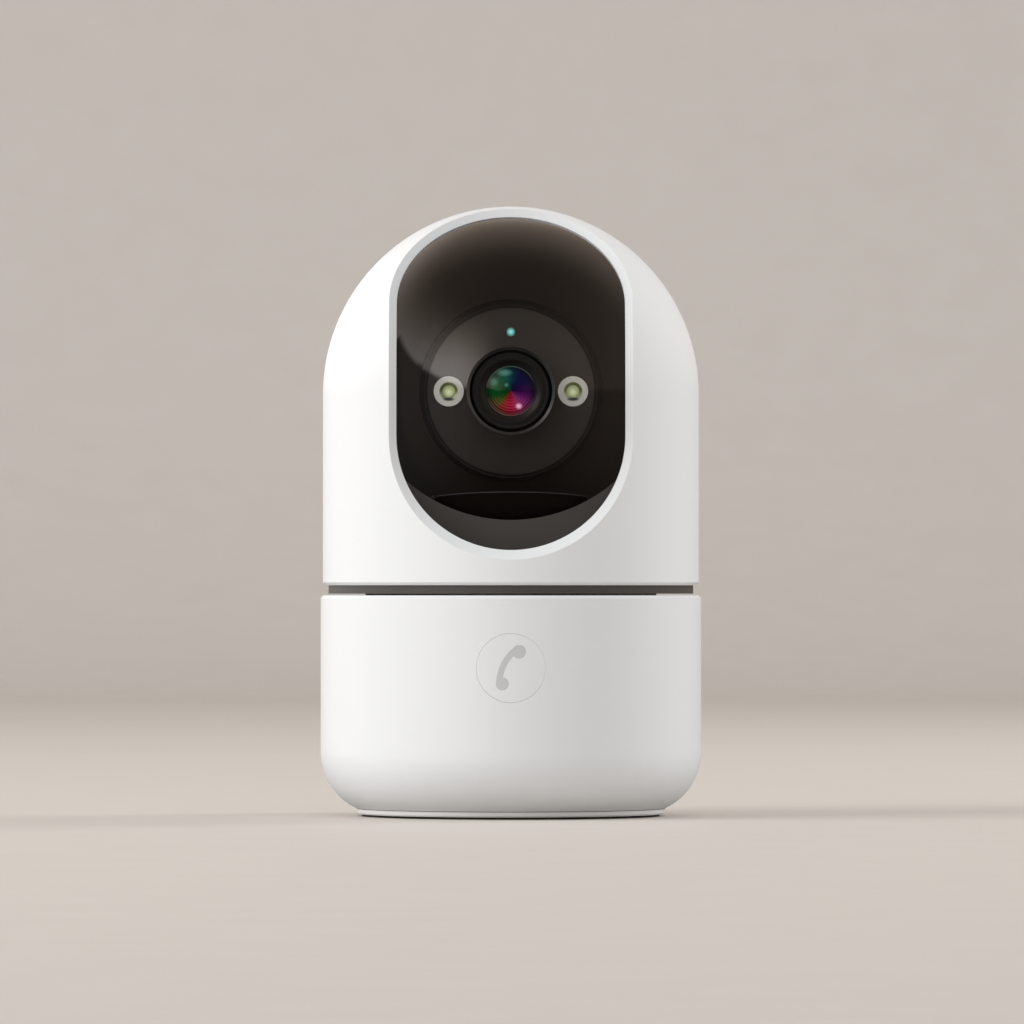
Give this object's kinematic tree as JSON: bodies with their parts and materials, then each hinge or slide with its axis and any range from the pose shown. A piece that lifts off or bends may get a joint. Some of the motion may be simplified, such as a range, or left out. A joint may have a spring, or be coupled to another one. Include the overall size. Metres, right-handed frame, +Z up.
{
  "type": "security camera",
  "caption": "Small indoor pan-and-tilt security camera: a domed white head turns on a round base, and a black lens ball tilts in its slot.",
  "frame": {"origin": "middle of the underside, on the surface that the foot pad rests on", "axes": "+Z up along the pan axis; the lens and the call button face -Y at rest; the power port faces +Y"},
  "size_m": [0.068, 0.068, 0.1089],
  "materials": {
    "shell_white": "satin",
    "button_white": "satin",
    "sign_grey": "printed",
    "band_dark": "satin",
    "cover_white": "satin",
    "pad_rubber": "matt",
    "insert_brass": "turned",
    "screw_steel": "zinc plated",
    "board_green": "solder mask",
    "board_black": "solder mask",
    "chip_black": "moulded",
    "tinned_steel": "tinned",
    "socket_cream": "moulded",
    "speaker_black": "moulded",
    "diaphragm_grey": "film",
    "magnet_steel": "plated",
    "antenna_amber": "film",
    "boot_rubber": "matt",
    "acetal_white": "moulded",
    "motor_steel": "drawn",
    "shaft_steel": "ground",
    "clip_steel": "black oxide",
    "yoke_grey": "moulded",
    "guard_grey": "satin",
    "ball_black": "gloss",
    "window_clear": "clear",
    "plate_dark": "satin",
    "reflector_white": "moulded",
    "lamp_yellow": "phosphor",
    "status_cyan": "lit",
    "barrel_black": "anodised",
    "lens_coated": "coated",
    "filter_blue": "coated",
    "sensor_dark": "glazed"
  },
  "bodies": {
    "base": {"base_shell": "shell_white", "bottom_cover": "cover_white", "foot_pad": "pad_rubber", "tripod_insert": "insert_brass", "bottom_screws": "screw_steel", "call_switch": "chip_black", "button_board": "board_green", "main_board": "board_green", "board_screws": "screw_steel", "shield_can": "tinned_steel", "board_components": "chip_black", "cable_sockets": "socket_cream", "power_port": "tinned_steel", "microphone": "boot_rubber", "speaker_frame": "speaker_black", "speaker_diaphragm": "diaphragm_grey", "speaker_magnet": "magnet_steel", "antenna": "antenna_amber", "neck_bush": "acetal_white", "glide_ring": "acetal_white", "pan_motor": "motor_steel", "pan_motor_screws": "screw_steel"},
    "call_button": {"call_button": "button_white", "call_sign": "sign_grey", "call_switch_plunger": "chip_black"},
    "pan_pinion": {"pan_pinion": "acetal_white", "pan_motor_shaft": "shaft_steel"},
    "head": {"turntable": "band_dark", "pan_gear": "acetal_white", "neck_clip": "clip_steel", "head_front_shell": "shell_white", "head_rear_shell": "shell_white", "head_screws": "screw_steel", "tilt_yoke": "yoke_grey", "yoke_screws": "screw_steel", "pivot_bush": "acetal_white", "dust_guard": "guard_grey", "tilt_motor_shaft": "shaft_steel"},
    "lens_ball": {"ball_front_shell": "ball_black", "ball_rear_shell": "ball_black", "ball_screws": "screw_steel", "lens_window": "window_clear", "lens_plate": "plate_dark", "lamp_board": "board_black", "lamp_reflectors": "reflector_white", "lamps": "lamp_yellow", "status_light": "status_cyan", "lens_barrel": "barrel_black", "front_lens": "lens_coated", "inner_lenses": "lens_coated", "lens_holder": "chip_black", "infrared_filter": "filter_blue", "image_sensor": "sensor_dark", "sensor_board": "board_green", "ball_inner_screws": "screw_steel", "card_socket": "tinned_steel", "card_board": "board_green", "reset_switch": "chip_black", "tilt_motor": "motor_steel"},
    "reset_button": {"reset_button": "speaker_black"}
  },
  "joints": [
    {"name": "pan", "type": "hinge", "parent": "base", "child": "head", "pos_m": [0, 0, 0], "axis": [0, 0, 1], "range_deg": [-177.5, 177.5]},
    {"name": "tilt", "type": "hinge", "parent": "head", "child": "lens_ball", "pos_m": [0, 0, 0.0753], "axis": [-1, 0, 0], "range_deg": [-20, 55]},
    {"name": "pan_pinion_spin", "type": "hinge", "parent": "base", "child": "pan_pinion", "pos_m": [0.02172, 0, 0], "axis": [0, 0, 1], "range_deg": [-532.5, 532.5]},
    {"name": "call_button_press", "type": "slide", "parent": "base", "child": "call_button", "axis": [0, 1, 0], "range_m": [0, 0.0005], "stiffness_N_per_m": 800, "springref_m": -0.0005},
    {"name": "reset_button_press", "type": "slide", "parent": "lens_ball", "child": "reset_button", "axis": [0, 0.1736, 0.9848], "range_m": [0, 0.0004], "stiffness_N_per_m": 500, "springref_m": -0.0004}
  ],
  "couplings": [
    {"joint": "pan_pinion_spin", "follows": "pan", "ratio": -3}
  ]
}
